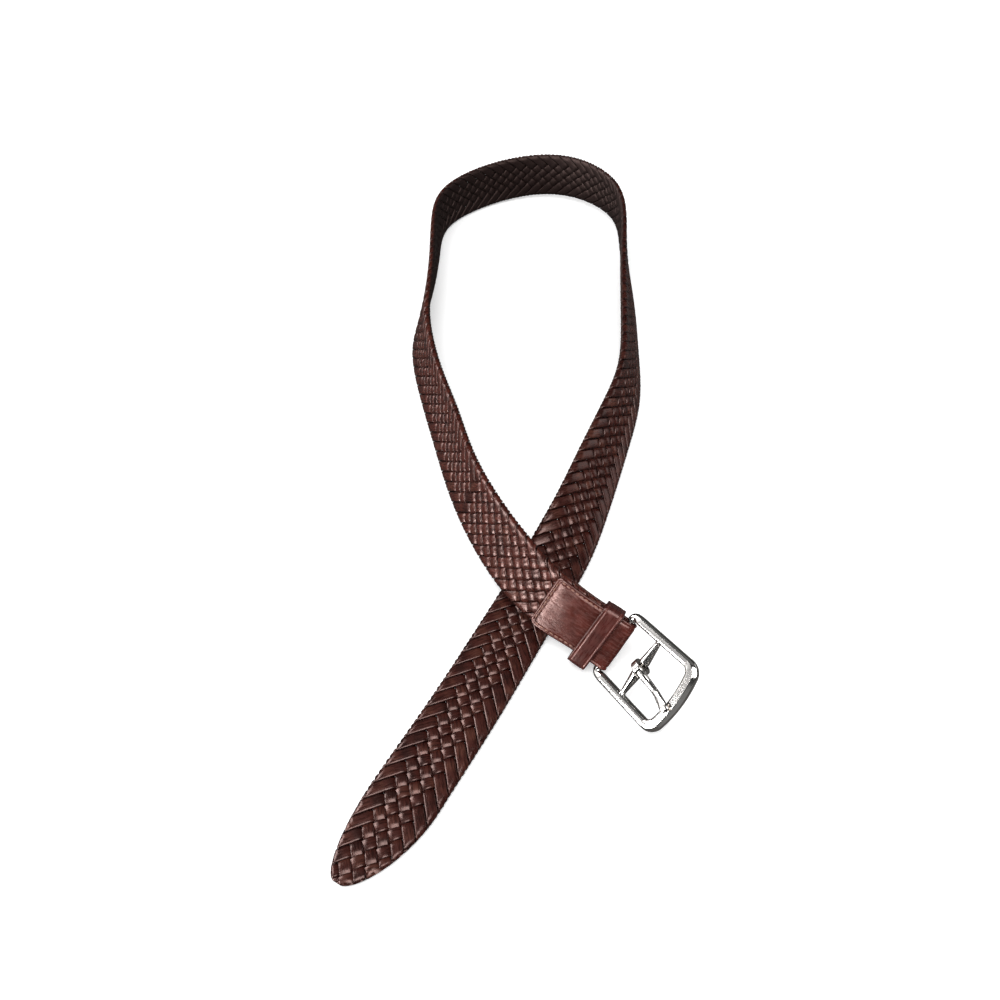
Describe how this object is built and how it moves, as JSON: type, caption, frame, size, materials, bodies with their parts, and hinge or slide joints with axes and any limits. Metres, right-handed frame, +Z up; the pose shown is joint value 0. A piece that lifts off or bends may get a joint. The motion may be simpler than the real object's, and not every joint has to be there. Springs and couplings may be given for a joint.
{
  "type": "braided belt",
  "caption": "Woven leather belt with a smooth leather end, a keeper loop and a prong buckle, laid down in a loop that stands on its edge.",
  "frame": {"origin": "below the middle of the belt's box, on the surface that the belt lies on", "axes": "+Z up from the surface, +Y from the tip and buckle towards the far end of the loop, +X to the side that the buckle is on"},
  "size_m": [0.1682, 0.5574, 0.0406],
  "materials": {
    "woven_leather": "glossy dark brown strands with a reddish cast",
    "smooth_leather": "glossy reddish brown with fine wrinkles",
    "polished_nickel": "polished"
  },
  "bodies": {
    "belt": {"woven_strap": "woven_leather", "chape": "smooth_leather", "keeper": "smooth_leather"},
    "buckle": {"buckle_frame": "polished_nickel"},
    "prong": {"buckle_prong": "polished_nickel"}
  },
  "joints": [
    {"name": "buckle_turn", "type": "hinge", "parent": "belt", "child": "buckle", "pos_m": [0.04438, -0.16802, 0.01572], "axis": [-0.5227, -0.453, -0.7222], "range_deg": [-110, 28]},
    {"name": "prong_turn", "type": "hinge", "parent": "buckle", "child": "prong", "pos_m": [0.05528, -0.1829, 0.01716], "axis": [-0.6256, -0.2913, -0.7238], "range_deg": [0, 130]}
  ]
}
